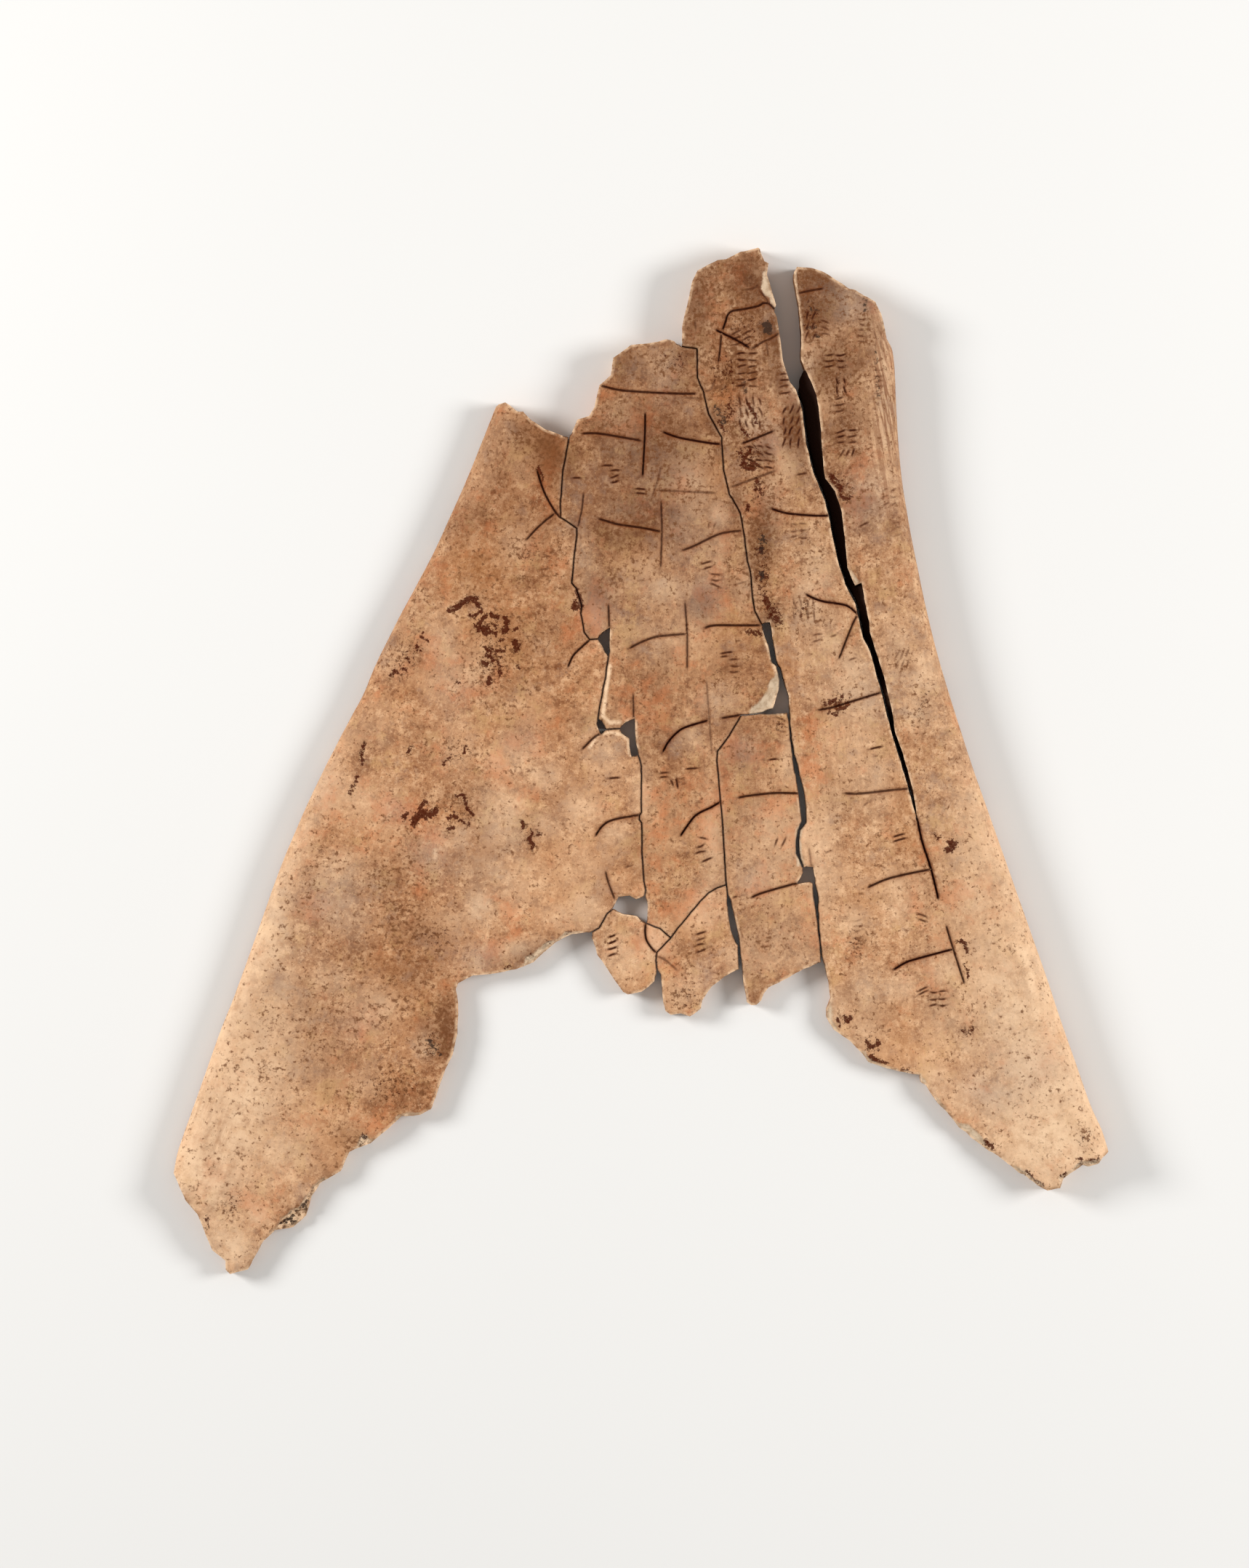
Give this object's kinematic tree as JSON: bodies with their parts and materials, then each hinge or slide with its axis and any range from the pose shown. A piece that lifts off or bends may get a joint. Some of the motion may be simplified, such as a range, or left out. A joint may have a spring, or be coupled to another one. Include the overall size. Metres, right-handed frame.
{
  "type": "oracle bone",
  "caption": "Refitted ox shoulder blade, lying face up, with rows of small cut strokes, divination cracks, open breaks and burnt hollows in its back.",
  "frame": {"origin": "centre of the bone's bounding box, on the surface that it lies on", "axes": "+Z out of the written face, +Y towards the narrow neck end, +X to the right as the written face is read"},
  "size_m": [0.2186, 0.2402, 0.0108],
  "materials": {
    "bone": "satin, tan old bone"
  },
  "bodies": {
    "root": {"left_wing": "bone", "centre_panel": "bone", "right_wing": "bone", "lower_right_strip": "bone", "lower_middle_flake": "bone", "lower_left_flake": "bone"}
  },
  "joints": []
}
